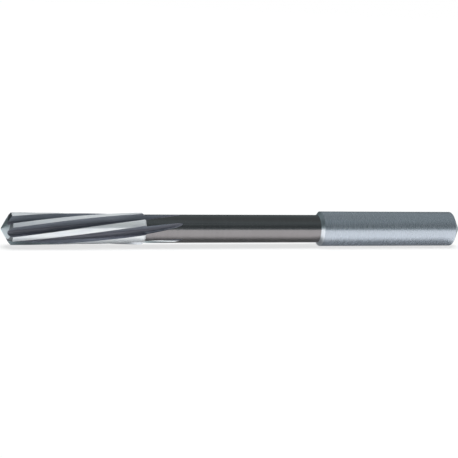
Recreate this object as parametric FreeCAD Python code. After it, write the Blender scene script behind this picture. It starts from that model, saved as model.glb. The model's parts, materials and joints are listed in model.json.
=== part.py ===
import FreeCAD, Part
import math
import os

# Solid machine reamer, left-hand helix, right-hand cutting, straight shank.
# Frame: +X from the cutting tip to the shank end, +Z up, origin on the axis at
# the middle of the shank. Angles round the axis are counted from -Y towards +Z.

# Overall sizes (mm, degrees)
overall_length = 109.0
shank_d = 8.0
shank_length = 36.0
neck_d = 6.35
reamer_d = 7.1
flute_length = 31.4

# Front end: male centre, and the 45 degree cutting lead of each tooth
centre_angle = 120.0
lead_depth = 0.53
lead_relief = 7.5

# Ends of the neck
back_chamfer = 0.40
shoulder_length = 0.67

# Rear end of the shank: broken corner, then a male centre with a blunt point
rear_cone_angle = 116.0
rear_corner_r = 0.20
rear_flat_d = 0.20

# Teeth: three unequal pitches, repeated so that opposite teeth face each other
tooth_pitches = (70.0, 51.0, 59.0)
first_edge_angle = 93.6
helix_angle = 8.0
core_d = 4.24
flute_opening = 35.5
flute_bottom_r = 0.60

# Lands: cylindrical margin, then two flat reliefs
margin_width = 0.20
primary_width = 0.95
primary_relief = 11.0
secondary_relief = 15.0
least_secondary = 2.0

# Grinding wheel: it starts to rise before the end of the teeth, drawn back
# towards the heel side, and leaves the flutes in the neck
wheel_d = 120.0
lift_lead = 3.4
lift_angle = 50.0

# Margins of the flute cutters round and ahead of the blank
cutter_clearance = 1.3
cutter_lead_in = 0.8
cutter_exit = 0.25
head_sections = 8
exit_sections = 10
bottom_arcs = 3
lead_cutter_reach = 0.9
lead_cutter_overrun = 17.0

reamer_r = reamer_d / 2.0
neck_r = neck_d / 2.0
shank_r = shank_d / 2.0
core_r = core_d / 2.0
tip_x = shank_length / 2.0 - overall_length
rear_x = shank_length / 2.0


def circle_point(radius, angle):
    """Point (u, w) at an angle from the w direction towards u."""
    a = math.radians(angle)
    return (radius * math.sin(a), radius * math.cos(a))


def head_profile():
    """Outline points (x, r) from the tip to the neck behind the head."""
    slope = math.tan(math.radians(centre_angle / 2.0))
    back_x = tip_x + flute_length
    return [
        (tip_x, 0.0),
        (tip_x + reamer_r / slope, reamer_r),
        (back_x, reamer_r),
        (back_x + back_chamfer, neck_r),
    ]


def rear_profile():
    """Corner arc and edge of the blunt point at the rear, as (x, r) points."""
    half = math.radians(rear_cone_angle / 2.0)
    flat_r = rear_flat_d / 2.0
    edge_x = rear_x - (shank_r - flat_r) / math.tan(half)
    tangent = rear_corner_r * math.tan(half / 2.0)
    start = (edge_x - tangent, shank_r)
    centre = (start[0], shank_r - rear_corner_r)
    middle = (
        centre[0] + rear_corner_r * math.sin(half / 2.0),
        centre[1] + rear_corner_r * math.cos(half / 2.0),
    )
    end = (
        edge_x + tangent * math.cos(half),
        shank_r - tangent * math.sin(half),
    )
    return start, middle, end, (rear_x, flat_r)


def blank():
    """Turned and ground blank: head, neck, shoulder, shank, both ends."""
    start, middle, end, point = rear_profile()
    neck_end = rear_x - shank_length
    points = head_profile()
    points.append((neck_end, neck_r))
    points.append((neck_end + shoulder_length, shank_r))
    points.append(start)
    corners = [FreeCAD.Vector(x, 0, r) for x, r in points]
    edges = [Part.LineSegment(a, b).toShape() for a, b in zip(corners, corners[1:])]
    arc_points = [FreeCAD.Vector(x, 0, r) for x, r in (start, middle, end)]
    edges.append(Part.Arc(*arc_points).toShape())
    tail = [arc_points[2]]
    tail.append(FreeCAD.Vector(point[0], 0, point[1]))
    tail.append(FreeCAD.Vector(rear_x, 0, 0))
    tail.append(FreeCAD.Vector(tip_x, 0, 0))
    edges += [Part.LineSegment(a, b).toShape() for a, b in zip(tail, tail[1:])]
    face = Part.Face(Part.Wire(edges))
    return face.revolve(FreeCAD.Vector(0, 0, 0), FreeCAD.Vector(1, 0, 0), 360)


def relief_step(radius, width, angle):
    """Radius and swept angle after a flat relief of that width and clearance."""
    a = math.radians(angle)
    along = width * math.cos(a)
    inward = radius - width * math.sin(a)
    return math.hypot(inward, along), math.degrees(math.atan2(along, inward))


def relief_width(radius, sweep, angle):
    """Width of the flat relief that sweeps a given angle of the tooth."""
    s = math.radians(sweep)
    return radius * math.sin(s) / math.cos(s - math.radians(angle))


def tooth_back(pitch):
    """Corners of the back of one tooth, from its heel out past the margin.

    The angles count from the next cutting edge up to this tooth's own edge.
    """
    margin = math.degrees(margin_width / reamer_r)
    land = pitch - flute_opening
    split = math.degrees(primary_width / reamer_r)
    if land - split < least_secondary:
        split = land
    width = relief_width(reamer_r, split - margin, primary_relief)
    radius = relief_step(reamer_r, width, primary_relief)[0]
    corners = []
    if land > split:
        width = relief_width(radius, land - split, secondary_relief)
        heel_r = relief_step(radius, width, secondary_relief)[0]
        corners.append(circle_point(heel_r, flute_opening))
    corners.append(circle_point(radius, pitch - split))
    edge = circle_point(reamer_r, pitch - margin)
    last = corners[-1]
    run = (edge[0] - last[0], edge[1] - last[1])
    reach = 1.0 + cutter_lead_in / math.hypot(run[0], run[1])
    corners.append((last[0] + reach * run[0], last[1] + reach * run[1]))
    return corners


def flute_corners(pitch):
    """Flute outline (u, w): the rake face lies on u = 0, w is its radius.

    Returns the centre of the bottom arc, the angles at which the arc starts
    and ends, and the remaining corners round the outside of the cutter.
    """
    outside = max(reamer_r, neck_r) + cutter_clearance
    back = tooth_back(pitch)
    heel = back[0]
    reach = core_r + flute_bottom_r
    centre = (flute_bottom_r, math.sqrt(reach ** 2 - flute_bottom_r ** 2))
    dx = heel[0] - centre[0]
    dy = heel[1] - centre[1]
    rake_turn = -math.pi
    heel_turn = math.atan2(dy, dx) - math.acos(flute_bottom_r / math.hypot(dx, dy))
    last = math.degrees(math.atan2(back[-1][0], back[-1][1]))
    rest = back + [circle_point(outside, last), circle_point(outside, last / 2.0)]
    rest.append((0.0, outside))
    return centre, (rake_turn, heel_turn), rest


def lift(station):
    """How far the wheel has risen at a distance from the tip."""
    past = station - flute_length + lift_lead
    if past <= 0.0:
        return 0.0
    return past * past / wheel_d


def section(pitch, edge_angle, station):
    """Closed wire of the flute cutter at one distance from the tip."""
    centre, turns, rest = flute_corners(pitch)
    spiral = math.degrees(station * math.tan(math.radians(helix_angle)) / reamer_r)
    a = math.radians(edge_angle + spiral)
    rise = circle_point(lift(station), lift_angle)

    def place(point):
        u = point[0] + rise[0]
        w = point[1] + rise[1]
        y = u * math.sin(a) - w * math.cos(a)
        z = u * math.cos(a) + w * math.sin(a)
        return FreeCAD.Vector(tip_x + station, y, z)

    def on_bottom(share):
        turn = turns[0] + (turns[1] - turns[0]) * share
        return place((
            centre[0] + flute_bottom_r * math.cos(turn),
            centre[1] + flute_bottom_r * math.sin(turn),
        ))

    edges = []
    for i in range(bottom_arcs):
        shares = [(i + part) / bottom_arcs for part in (0.0, 0.5, 1.0)]
        edges.append(Part.Arc(*[on_bottom(share) for share in shares]).toShape())
    corners = [on_bottom(1.0)] + [place(point) for point in rest] + [on_bottom(0.0)]
    edges += [Part.LineSegment(a1, b1).toShape() for a1, b1 in zip(corners, corners[1:])]
    return Part.Wire(edges)


def full_lift():
    """Rise at which the bottom of the cutter is clear of the neck."""
    reach = core_r + flute_bottom_r
    swing = math.radians(lift_angle) - math.asin(flute_bottom_r / reach)
    clear = max(neck_r, core_r) + cutter_exit + flute_bottom_r
    return math.sqrt(clear ** 2 - (reach * math.sin(swing)) ** 2) - reach * math.cos(swing)


def stations():
    """Distances from the tip at which the cutter sections are drawn."""
    lift_start = flute_length - lift_lead
    step = (lift_start + cutter_lead_in) / head_sections
    result = [step * i - cutter_lead_in for i in range(head_sections)]
    run_out = math.sqrt(wheel_d * full_lift())
    result += [lift_start + run_out * i / exit_sections for i in range(exit_sections + 1)]
    return result


def flute_cutters():
    """One helical cutter for each of the six unequally spaced flutes."""
    cutters = []
    edge = first_edge_angle
    places = stations()
    for pitch in tooth_pitches + tooth_pitches:
        edge -= pitch
        wires = [section(pitch, edge, s) for s in places]
        cutters.append(Part.makeLoft(wires, True, False))
    return cutters


def lead_cutter(edge_angle, land):
    """Eccentric 45 degree cone behind one edge, as wide as its land.

    The cone's axis is offset ahead of the edge, so the lead falls away behind
    it at the relief angle.
    """
    lead_r = reamer_r - lead_depth / 2.0
    lead_s = (reamer_r - lead_depth) / math.tan(math.radians(centre_angle / 2.0))
    lead_s += lead_depth / 2.0
    offset = lead_r * math.tan(math.radians(lead_relief))
    cone_r = math.hypot(lead_r, offset)
    spiral = math.degrees(lead_s * math.tan(math.radians(helix_angle)) / reamer_r)
    edge = math.radians(edge_angle + spiral)
    axis = FreeCAD.Vector(0, offset * math.sin(edge), offset * math.cos(edge))
    inner = lead_cutter_reach + lead_depth
    outer = lead_cutter_reach
    corners = [(-inner, -inner), (outer, outer), (-inner, outer), (-inner, -inner)]
    points = [FreeCAD.Vector(tip_x + lead_s + x, 0, cone_r + r) for x, r in corners]
    face = Part.Face(Part.makePolygon(points))
    sweep = land + 2.0 * lead_cutter_overrun
    cutter = face.revolve(FreeCAD.Vector(0, 0, 0), FreeCAD.Vector(1, 0, 0), sweep)
    start = edge_angle + spiral - lead_relief + lead_cutter_overrun
    cutter.rotate(FreeCAD.Vector(0, 0, 0), FreeCAD.Vector(1, 0, 0), 90.0 - start)
    cutter.translate(axis)
    return cutter


def lead_cutters():
    """One lead cutter for each tooth, the flute behind it giving its width."""
    cutters = []
    edge = first_edge_angle
    following = tooth_pitches[1:] + tooth_pitches + tooth_pitches[:1]
    for pitch, behind in zip(tooth_pitches + tooth_pitches, following):
        edge -= pitch
        cutters.append(lead_cutter(edge, behind - flute_opening))
    return cutters


def reamer():
    """Blank with the flutes, relieved lands and cutting leads ground into it."""
    body = blank()
    for cutter in flute_cutters() + lead_cutters():
        body = body.cut(cutter)
    solid = body.Solids[0]
    return solid


os.makedirs("parts", exist_ok=True)
part = reamer()
part.exportStep("parts/reamer.step")
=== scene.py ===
import json
import math

import bmesh
import bpy
from mathutils import Matrix, Vector

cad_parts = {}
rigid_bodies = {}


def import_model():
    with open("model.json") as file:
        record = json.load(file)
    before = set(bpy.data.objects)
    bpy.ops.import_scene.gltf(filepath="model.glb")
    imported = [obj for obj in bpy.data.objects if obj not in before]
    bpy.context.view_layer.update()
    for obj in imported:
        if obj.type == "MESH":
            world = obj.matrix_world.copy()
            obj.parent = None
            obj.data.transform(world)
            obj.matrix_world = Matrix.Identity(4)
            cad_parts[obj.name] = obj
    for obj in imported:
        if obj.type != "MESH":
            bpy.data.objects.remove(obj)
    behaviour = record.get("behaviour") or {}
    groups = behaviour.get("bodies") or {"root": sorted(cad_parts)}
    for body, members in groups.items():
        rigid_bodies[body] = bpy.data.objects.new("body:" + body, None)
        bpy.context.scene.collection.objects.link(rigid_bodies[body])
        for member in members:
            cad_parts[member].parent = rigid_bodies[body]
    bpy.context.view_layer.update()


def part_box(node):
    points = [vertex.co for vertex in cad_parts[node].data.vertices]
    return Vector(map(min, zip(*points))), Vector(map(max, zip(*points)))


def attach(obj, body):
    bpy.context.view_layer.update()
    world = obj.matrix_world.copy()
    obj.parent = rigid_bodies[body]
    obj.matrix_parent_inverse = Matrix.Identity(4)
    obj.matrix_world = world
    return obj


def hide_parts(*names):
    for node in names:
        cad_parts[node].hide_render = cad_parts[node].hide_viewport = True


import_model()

# ---------------------------------------------------------------------------
# The reamer: one bar of high-speed steel, turned to a head, a thinner neck and
# a straight shank with a male centre at each end, hardened dark, then ground.
# The flutes and the cutting lead are ground into it afterwards.
# ---------------------------------------------------------------------------
mm = 0.001
low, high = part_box("reamer")
tip_x = low[0]
rear_x = high[0]
shank_r = high[2]
shank_length = 36.0 * mm
shoulder_length = 0.67 * mm
neck_r = 3.175 * mm
head_r = 3.55 * mm
head_length = 31.4 * mm
back_chamfer = 0.40 * mm
front_half_angle = math.radians(60.0)
rear_half_angle = math.radians(58.0)
rear_corner_r = 0.20 * mm
rear_flat_r = 0.10 * mm
broken_edge = 0.03 * mm
blank_steps = 360
cone_level = 0.6 * head_r
cone_rows = 12
merge_distance = 0.0005 * mm
start_tolerance = 0.01 * mm

# The places of the finishes in the list of materials.
SHANK, NECK, FLUTE, LAND, POINT, LEAD, SHOULDER, CENTRE, RUN_OUT, FLANK, FACE = range(11)


def outline_corners():
    """Outline of the blank as (x, radius, finish of the stretch that follows)."""
    shoulder_x = rear_x - shank_length
    edge_x = rear_x - (shank_r - rear_flat_r) / math.tan(rear_half_angle)
    return [
        (tip_x, 0.0, POINT),
        (tip_x + head_r / math.tan(front_half_angle), head_r, LAND),
        (tip_x + head_length, head_r, LAND),
        (tip_x + head_length + back_chamfer, neck_r, NECK),
        (shoulder_x, neck_r, SHOULDER),
        (shoulder_x + shoulder_length, shank_r, SHANK),
        (edge_x, shank_r, CENTRE),
        (rear_x, rear_flat_r, CENTRE),
        (rear_x, 0.0, CENTRE),
    ]


def round_corners(bm, corners, offset, segments):
    """Round the outline at some of its corners."""
    bmesh.ops.bevel(bm, geom=corners, affect="VERTICES", offset=offset,
                    offset_type="OFFSET", segments=segments, profile=0.5, material=-1)


def turn_blank():
    """Round the outline's corners and spin it about the tool's axis."""
    bm = bmesh.new()
    corners = outline_corners()
    points = [bm.verts.new((x, 0.0, r)) for x, r, finish in corners]
    for a, b in zip(points, points[1:]):
        bm.edges.new((a, b))
    rear_corner = rear_corner_r * math.tan(rear_half_angle / 2.0)
    round_corners(bm, points[6:7], offset=rear_corner, segments=6)
    round_corners(bm, points[2:6] + points[7:8], offset=broken_edge, segments=2)
    cones = [e for e in bm.edges
             if min(v.co.z for v in e.verts) < cone_level < max(v.co.z for v in e.verts)]
    bmesh.ops.subdivide_edges(bm, edges=cones, cuts=cone_rows)
    bmesh.ops.spin(bm, geom=bm.verts[:] + bm.edges[:], cent=(0, 0, 0), axis=(1, 0, 0),
                   angle=2 * math.pi, steps=blank_steps, use_merge=True)
    bmesh.ops.remove_doubles(bm, verts=bm.verts[:], dist=merge_distance)
    bmesh.ops.recalc_face_normals(bm, faces=bm.faces[:])
    stretches = [(x, finish) for x, r, finish in corners]
    for face in bm.faces:
        x = face.calc_center_median().x + start_tolerance
        face.material_index = [finish for start, finish in stretches if start <= x][-1]
    return bm


def mesh_object(name, bm):
    """Store a finished bmesh as an object."""
    mesh = bpy.data.meshes.new(name)
    bm.to_mesh(mesh)
    bm.free()
    return bpy.data.objects.new(name, mesh)


reamer = mesh_object("reamer_ground", turn_blank())
bpy.context.scene.collection.objects.link(reamer)

# The six flutes: a formed wheel grinds each along a left-hand helix. The same
# cut clears the back of the tooth behind it, and the wheel then rises out of
# the neck. The teeth are unequally spaced, with opposite teeth in line.
tooth_pitches = (70.0, 51.0, 59.0)
first_edge_angle = 93.6
helix_angle = 8.0
twist = math.tan(math.radians(helix_angle)) / head_r
core_r = 2.12 * mm
flute_opening = 35.5
flute_bottom_r = 0.60 * mm
face_turn = math.radians(35.0)
margin_width = 0.20 * mm
primary_width = 0.95 * mm
primary_relief = math.radians(11.0)
secondary_relief = math.radians(15.0)
least_secondary = 2.0
wheel_d = 120.0 * mm
lift_start = head_length - 3.4 * mm
lift_angle = 50.0
outside_r = head_r + 1.3 * mm
lead_in = 0.8 * mm
exit_clearance = 0.25 * mm
bottom_steps = 24
head_rings = 64
run_out_rings = 40


def polar(radius, degrees):
    """Point (u, w) at an angle from the w direction towards u."""
    a = math.radians(degrees)
    return Vector((radius * math.sin(a), radius * math.cos(a)))


def relieved(radius, sweep, clearance):
    """Radius after a flat relief that sweeps an angle of the tooth."""
    return radius * math.cos(clearance) / math.cos(math.radians(sweep) - clearance)


def tooth_back(pitch):
    """Corners of the back of one tooth, from its heel out past the margin."""
    margin = math.degrees(margin_width / head_r)
    split = math.degrees(primary_width / head_r)
    land = pitch - flute_opening
    if land - split < least_secondary:
        split = land
    primary_end = relieved(head_r, split - margin, primary_relief)
    corners = []
    if land > split:
        heel_r = relieved(primary_end, land - split, secondary_relief)
        corners.append(polar(heel_r, flute_opening))
    corners.append(polar(primary_end, pitch - split))
    edge = polar(head_r, pitch - margin)
    corners.append(edge + (edge - corners[-1]).normalized() * lead_in)
    return corners


def wheel_section(bm, pitch):
    """Closed ring of the cut in the plane x = 0, and the finish of each edge."""
    reach = core_r + flute_bottom_r
    centre = Vector((flute_bottom_r, math.sqrt(reach ** 2 - flute_bottom_r ** 2)))
    back = tooth_back(pitch)
    to_heel = back[0] - centre
    heel_angle = math.atan2(to_heel.y, to_heel.x)
    turn = heel_angle - math.acos(flute_bottom_r / to_heel.length) + math.pi
    start = bm.verts.new((0.0, 0.0, centre.y))
    bottom = bmesh.ops.spin(bm, geom=[start], cent=(0.0, centre.x, centre.y), axis=(1, 0, 0),
                            angle=turn, steps=bottom_steps, use_merge=False)
    ring = [start]
    while ring[-1] is not bottom["geom_last"][0]:
        beside = [e.other_vert(ring[-1]) for e in ring[-1].link_edges]
        ring += [v for v in beside if v not in ring]
    arc = len(ring) - 1
    last = math.degrees(math.atan2(back[-1].x, back[-1].y))
    rest = back + [polar(outside_r, degrees) for degrees in (last, last / 2.0, 0.0)]
    ring += [bm.verts.new((0.0, p.x, p.y)) for p in rest]
    for a, b in zip(ring[arc:], ring[arc + 1:] + ring[:1]):
        bm.edges.new((a, b))
    foot = round(arc * face_turn / turn)
    marks = [RUN_OUT] * foot + [FLUTE] * (arc - foot) + [FLANK]
    marks += [LAND] * (len(rest) - 1) + [RUN_OUT]
    return ring, marks


def section_place(edge_angle, station):
    """Matrix that lays the flat section round the tool at a distance from the tip."""
    past = max(station - lift_start, 0.0)
    rise = polar(past * past / wheel_d, lift_angle)
    a = math.radians(edge_angle) + station * twist
    across = Matrix((
        (1, 0, 0, 0),
        (0, math.sin(a), -math.cos(a), 0),
        (0, math.cos(a), math.sin(a), 0),
        (0, 0, 0, 1),
    ))
    along = Matrix.Translation((tip_x + station, 0, 0))
    return along @ across @ Matrix.Translation((0, rise.x, rise.y))


def flute_stations():
    """Distances from the tip at which the rings of the cut stand."""
    reach = core_r + flute_bottom_r
    swing = math.radians(lift_angle) - math.asin(flute_bottom_r / reach)
    clear = neck_r + exit_clearance + flute_bottom_r
    beside = reach * math.sin(swing)
    full_lift = math.sqrt(clear ** 2 - beside ** 2) - reach * math.cos(swing)
    run_out = math.sqrt(wheel_d * full_lift)
    head = [lift_start * i / head_rings - lead_in * (1.0 - i / head_rings)
            for i in range(head_rings)]
    return head + [lift_start + run_out * i / run_out_rings for i in range(run_out_rings + 1)]


def flute_cutter(name, pitch, edge_angle):
    """One closed cutter, extruded ring by ring along the flute."""
    bm = bmesh.new()
    ring, marks = wheel_section(bm, pitch)
    stations = flute_stations()
    place = section_place(edge_angle, stations[0])
    bmesh.ops.transform(bm, matrix=place, verts=bm.verts[:])
    loop = [bm.edges.get((a, b)) for a, b in zip(ring, ring[1:] + ring[:1])]
    bmesh.ops.contextual_create(bm, geom=loop)
    for station in stations[1:]:
        following = section_place(edge_angle, station)
        drawn = set(bmesh.ops.extrude_edge_only(bm, edges=loop)["geom"])
        new_loop = []
        for edge, mark in zip(loop, marks):
            side = [face for face in edge.link_faces if face in drawn][0]
            side.material_index = mark
            # Inside the head the foot of the groove takes the darker flute-bottom colour,
            # painted shade in the groove.
            if mark == RUN_OUT and station < head_length + back_chamfer:
                side.material_index = FACE if edge is loop[-1] else FLUTE
            new_loop += [e for e in side.edges if not set(e.verts) & set(edge.verts)]
        moved = list({v for e in new_loop for v in e.verts})
        bmesh.ops.transform(bm, matrix=following @ place.inverted(), verts=moved)
        loop = new_loop
        place = following
    bmesh.ops.contextual_create(bm, geom=loop)
    bmesh.ops.recalc_face_normals(bm, faces=bm.faces[:])
    return mesh_object(name, bm)


# The cutting lead: each tooth is ground at 45 degrees on an eccentric cone, so
# that it falls away behind its edge.
lead_depth = 0.53 * mm
lead_relief = math.radians(7.5)
lead_reach = 0.9 * mm
lead_overrun = math.radians(17.0)
lead_steps = 48


def lead_cutter(name, edge_angle, land):
    """Ring sector outside the eccentric 45 degree cone of one tooth."""
    lead_r = head_r - lead_depth / 2.0
    station = (head_r - lead_depth) / math.tan(front_half_angle) + lead_depth / 2.0
    offset = lead_r * math.tan(lead_relief)
    cone_r = math.hypot(lead_r, offset)
    edge = math.radians(edge_angle) + station * twist
    inner = lead_reach + lead_depth
    corners = [(-inner, -inner), (lead_reach, lead_reach), (-inner, lead_reach)]
    bm = bmesh.new()
    ring = [bm.verts.new((tip_x + station + x, 0.0, cone_r + r)) for x, r in corners]
    start = bm.faces.new(ring)
    begin = math.pi / 2.0 - (edge - lead_relief + lead_overrun)
    bmesh.ops.rotate(bm, cent=(0, 0, 0), matrix=Matrix.Rotation(begin, 3, "X"),
                     verts=ring)
    bmesh.ops.spin(bm, geom=[start] + start.edges[:] + ring, cent=(0, 0, 0), axis=(1, 0, 0),
                   angle=math.radians(land) + 2.0 * lead_overrun, steps=lead_steps,
                   use_merge=False)
    aside = (0.0, offset * math.sin(edge), offset * math.cos(edge))
    bmesh.ops.translate(bm, vec=aside, verts=bm.verts[:])
    bmesh.ops.recalc_face_normals(bm, faces=bm.faces[:])
    for face in bm.faces:
        face.material_index = LEAD
    return mesh_object(name, bm)


wheel_cuts = bpy.data.collections.new("wheel_cuts")
bpy.context.scene.collection.children.link(wheel_cuts)
edge_angle = first_edge_angle
pitches = tooth_pitches + tooth_pitches
for number, (pitch, behind) in enumerate(zip(pitches, pitches[1:] + pitches[:1])):
    edge_angle -= pitch
    land = behind - flute_opening
    wheel_cuts.objects.link(flute_cutter("wheel_cut_%d" % number, pitch, edge_angle))
    wheel_cuts.objects.link(lead_cutter("lead_cut_%d" % number, edge_angle, land))


# The finishes: every ground surface keeps the fine lines of its wheel, which
# run round the turned stretches and along the helix in the flutes and lands.
ring_grain = (1500.0, 50.0, 50.0)
helix_grain = (220.0, 4200.0, 4200.0)
patch_scale = 180.0
line_range = (0.25, 0.75)
shade_range = (0.7, 1.3)
gloss_spread = 0.1
scratch_depth = 0.002 * mm


def add_node(mat, kind, options, inputs):
    """Add a shader node, set its options and fill or link its inputs."""
    made = mat.node_tree.nodes.new("ShaderNode" + kind)
    for name, value in options.items():
        setattr(made, name, value)
    for name, value in inputs.items():
        if isinstance(value, bpy.types.NodeSocket):
            mat.node_tree.links.new(value, made.inputs[name])
        else:
            made.inputs[name].default_value = value
    return made


def straightened(mat, place):
    """Object coordinates turned back along the helix, so that lines follow it."""
    split = add_node(mat, "SeparateXYZ", {}, {"Vector": place})
    turn = add_node(mat, "Math", {"operation": "MULTIPLY"},
                    {0: split.outputs["X"], 1: twist})
    untwist = add_node(mat, "VectorRotate", {"rotation_type": "X_AXIS"},
                       {"Vector": place, "Angle": turn.outputs["Value"]})
    return untwist.outputs["Vector"]


def steel(name, colour, metallic, roughness, helical, contrast, depth):
    """One steel finish with its grinding lines, faint patches and bump."""
    mat = bpy.data.materials.new(name)
    mat.use_nodes = True
    links = mat.node_tree.links
    shader = mat.node_tree.nodes["Principled BSDF"]
    shader.inputs["Metallic"].default_value = metallic
    place = add_node(mat, "TexCoord", {}, {}).outputs["Object"]
    along = straightened(mat, place) if helical else place
    stretch = add_node(mat, "Mapping", {},
                       {"Vector": along, "Scale": helix_grain if helical else ring_grain})
    lines = add_node(mat, "TexNoise", {},
                     {"Vector": stretch.outputs["Vector"], "Scale": 1.0, "Detail": 1.0})
    patches = add_node(mat, "TexNoise", {},
                       {"Vector": place, "Scale": patch_scale, "Detail": 2.0})
    gloss = add_node(mat, "MapRange", {}, {
        "Value": lines.outputs["Fac"], "From Min": line_range[0], "From Max": line_range[1],
        "To Min": (1.0 - gloss_spread) * roughness, "To Max": (1.0 + gloss_spread) * roughness})
    links.new(gloss.outputs["Result"], shader.inputs["Roughness"])
    mixed = add_node(mat, "Math", {"operation": "ADD"},
                     {0: lines.outputs["Fac"], 1: patches.outputs["Fac"]})
    spread = add_node(mat, "MapRange", {}, {
        "Value": mixed.outputs["Value"], "From Min": shade_range[0], "From Max": shade_range[1]})
    shades = add_node(mat, "ValToRGB", {}, {"Fac": spread.outputs["Result"]})
    dark, bright = shades.color_ramp.elements
    dark.color = (*[c * (1.0 - contrast) for c in colour], 1.0)
    bright.color = (*[min(c * (1.0 + contrast), 1.0) for c in colour], 1.0)
    links.new(shades.outputs["Color"], shader.inputs["Base Color"])
    relief = add_node(mat, "Bump", {}, {
        "Height": lines.outputs["Fac"], "Strength": depth, "Distance": scratch_depth})
    links.new(relief.outputs["Normal"], shader.inputs["Normal"])
    return mat


finishes = {
    SHANK: steel("shank_ground", (0.56, 0.60, 0.67), metallic=0.84, roughness=0.27,
                 helical=False, contrast=0.03, depth=0.02),
    NECK: steel("neck_hardened_dark", (0.30, 0.28, 0.285), metallic=1.0, roughness=0.20,
                helical=False, contrast=0.05, depth=0.02),
    # The flutes are dark oxide steel; the bottom of the groove also gets a darker colour than
    # its flank, painted shade in the deep of the groove.
    FLUTE: steel("flute_bottom_oxide_and_shade", (0.165, 0.165, 0.20), metallic=0.25, roughness=0.50,
                 helical=True, contrast=0.10, depth=0.20),
    LAND: steel("land_polished", (0.93, 0.94, 1.0), metallic=0.44, roughness=0.18,
                helical=True, contrast=0.06, depth=0.15),
    POINT: steel("front_centre", (0.46, 0.51, 0.54), metallic=1.0, roughness=0.35,
                 helical=False, contrast=0.08, depth=0.10),
    # The lead is ground steel, but its colour is painted dark: painted shade standing in for the
    # dark reflection it shows.
    LEAD: steel("lead_painted_dark", (0.16, 0.17, 0.185), metallic=0.9, roughness=0.35,
                helical=False, contrast=0.10, depth=0.10),
    SHOULDER: steel("shoulder_turned", (0.74, 0.77, 0.82), metallic=1.0, roughness=0.18,
                    helical=False, contrast=0.05, depth=0.04),
    CENTRE: steel("rear_centre", (0.30, 0.34, 0.37), metallic=0.3, roughness=0.50,
                  helical=False, contrast=0.10, depth=0.10),
    RUN_OUT: steel("run_out_polished", (0.90, 0.92, 0.95), metallic=1.0, roughness=0.12,
                   helical=True, contrast=0.05, depth=0.10),
    FLANK: steel("flute_flank", (0.225, 0.24, 0.285), metallic=0.25, roughness=0.40,
                 helical=True, contrast=0.10, depth=0.20),
    FACE: steel("cutting_face", (0.72, 0.74, 0.78), metallic=1.0, roughness=0.12,
                helical=True, contrast=0.08, depth=0.10),
}
for finish in sorted(finishes):
    reamer.data.materials.append(finishes[finish])
    for cut in wheel_cuts.objects:
        cut.data.materials.append(finishes[finish])

# Grinding: the wheel cuts are taken out of the blank, and the result is kept
# as the piece's own mesh.
sharp_angle = math.radians(25.0)
grind = reamer.modifiers.new("grind", "BOOLEAN")
grind.operation = "DIFFERENCE"
grind.operand_type = "COLLECTION"
grind.collection = wheel_cuts
grind.solver = "EXACT"
bpy.context.view_layer.update()
depsgraph = bpy.context.evaluated_depsgraph_get()
ground = bpy.data.meshes.new_from_object(reamer.evaluated_get(depsgraph))
reamer.modifiers.clear()
reamer.data = ground
for cut in list(wheel_cuts.objects):
    bpy.data.objects.remove(cut)
bpy.data.collections.remove(wheel_cuts)
reamer.data.shade_smooth()
reamer.data.set_sharp_from_angle(angle=sharp_angle)
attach(reamer, "root")
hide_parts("reamer")

# ---------------------------------------------------------------------------
# The floor: a wide sheet of matt white paper that the reamer lies on. It stays
# white to the eye and in the metal, and keeps the reamer's soft shadow.
# ---------------------------------------------------------------------------
floor_half_width = 3.0
paper_white = (0.95, 0.95, 0.95, 1.0)
glow_seen = 0.70
glow_mirrored = 0.17
bm = bmesh.new()
bmesh.ops.create_grid(bm, x_segments=1, y_segments=1, size=floor_half_width)
bmesh.ops.translate(bm, vec=(0, 0, -shank_r), verts=bm.verts[:])
floor = mesh_object("floor", bm)
bpy.context.scene.collection.objects.link(floor)

paper = bpy.data.materials.new("floor_paper")
paper.use_nodes = True
sheet = paper.node_tree.nodes["Principled BSDF"]
sheet.inputs["Base Color"].default_value = paper_white
sheet.inputs["Roughness"].default_value = 0.9
sheet.inputs["Specular IOR Level"].default_value = 0.0
path = add_node(paper, "LightPath", {}, {})
mirrored = add_node(paper, "Math", {"operation": "MULTIPLY"},
                    {0: path.outputs["Is Glossy Ray"], 1: glow_mirrored})
seen = add_node(paper, "Math", {"operation": "MAXIMUM"},
                {0: path.outputs["Is Camera Ray"], 1: path.outputs["Is Transmission Ray"]})
either = add_node(paper, "Math", {"operation": "MAXIMUM"},
                  {0: seen.outputs["Value"], 1: mirrored.outputs["Value"]})
share = add_node(paper, "Math", {"operation": "MULTIPLY"},
                 {0: either.outputs["Value"], 1: glow_seen})
glow = add_node(paper, "Emission", {}, {"Strength": 1.0})
blend = add_node(paper, "MixShader", {}, {
    "Fac": share.outputs["Value"], 1: sheet.outputs["BSDF"], 2: glow.outputs["Emission"]})
surface = paper.node_tree.nodes["Material Output"].inputs["Surface"]
paper.node_tree.links.new(blend.outputs["Shader"], surface)
floor.data.materials.append(paper)

# ---------------------------------------------------------------------------
# The light: a large softbox above, in a studio whose walls darken from the
# floor's white up to a dim ceiling. Only the steel mirrors the walls; the eye
# sees plain white behind the reamer.
# ---------------------------------------------------------------------------
studio_white = (1.0, 1.0, 1.0, 1.0)
ceiling_grey = (0.15, 0.175, 0.175, 1.0)
wall_tint = (0.84, 1.03, 1.06)
wall_levels = ((0.12, 0.34), (0.26, 0.165), (0.45, 0.105), (0.65, 0.15), (0.88, 0.22))
front_lift = -0.087
back_lift = 0.20
studio = bpy.data.worlds.new("studio")
bpy.context.scene.world = studio
studio.use_nodes = True
direction = add_node(studio, "TexCoord", {}, {}).outputs["Generated"]
place = add_node(studio, "SeparateXYZ", {}, {"Vector": direction})
front = add_node(studio, "Math", {"operation": "MULTIPLY"},
                 {0: place.outputs["Y"], 1: front_lift})
back = add_node(studio, "Math", {"operation": "MULTIPLY"},
                {0: place.outputs["Y"], 1: back_lift})
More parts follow.
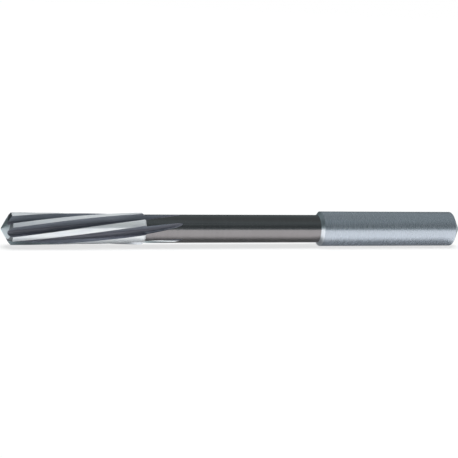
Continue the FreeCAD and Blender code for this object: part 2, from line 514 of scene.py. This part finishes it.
lift = add_node(studio, "Math", {"operation": "MAXIMUM"},
                {0: front.outputs["Value"], 1: back.outputs["Value"]})
height = add_node(studio, "Math", {"operation": "ADD"},
                  {0: place.outputs["Z"], 1: lift.outputs["Value"]})
walls = add_node(studio, "ValToRGB", {}, {"Fac": height.outputs["Value"]})
stops = walls.color_ramp.elements
stops[0].color = studio_white
stops[1].color = ceiling_grey
for position, level in wall_levels:
    stops.new(position).color = (*[level * tint for tint in wall_tint], 1.0)
rays = add_node(studio, "LightPath", {}, {})
shown = add_node(studio, "MixRGB", {}, {
    "Fac": rays.outputs["Is Camera Ray"], "Color1": walls.outputs["Color"],
    "Color2": studio_white})
background = studio.node_tree.nodes["Background"].inputs["Color"]
studio.node_tree.links.new(shown.outputs["Color"], background)

# The softbox lights the reamer and the floor but stays out of reflections; the steel mirrors the
# walls and the floor.
towards_softbox = Vector((0.10, 0.12, 1.0))
lamp = bpy.data.lights.new("softbox", "SUN")
lamp.energy = 3.05
lamp.angle = math.radians(40.0)
lamp.cycles.use_multiple_importance_sampling = False
softbox = bpy.data.objects.new("softbox", lamp)
softbox.matrix_world = towards_softbox.to_track_quat("Z", "Y").to_matrix().to_4x4()
softbox.visible_glossy = False
bpy.context.scene.collection.objects.link(softbox)

# ---------------------------------------------------------------------------
# The camera: a long lens a little above the reamer, turned towards its tip.
# ---------------------------------------------------------------------------
elevation = math.radians(10.0)
yaw = math.radians(17.17)
distance = 328.3 * mm
aim_behind_tip = 51.78 * mm
aim_below_axis = 0.07 * mm
forward = Vector((
    math.sin(yaw),
    math.cos(yaw) * math.cos(elevation),
    -math.cos(yaw) * math.sin(elevation),
))
right = Vector((
    math.cos(yaw),
    -math.sin(yaw) * math.cos(elevation),
    math.sin(yaw) * math.sin(elevation),
))
up = Vector((0, math.sin(elevation), math.cos(elevation)))
aim = Vector((tip_x + aim_behind_tip, 0, 0)) - up * aim_below_axis
where = aim - forward * distance
lens = bpy.data.cameras.new("camera")
lens.lens = 113.74
lens.sensor_width = 36.0
lens.clip_start = 0.01
camera = bpy.data.objects.new("camera", lens)
camera.matrix_world = Matrix((
    (right.x, up.x, -forward.x, where.x),
    (right.y, up.y, -forward.y, where.y),
    (right.z, up.z, -forward.z, where.z),
    (0, 0, 0, 1),
))
bpy.context.scene.collection.objects.link(camera)
bpy.context.scene.camera = camera
bpy.context.scene.view_settings.view_transform = "Standard"
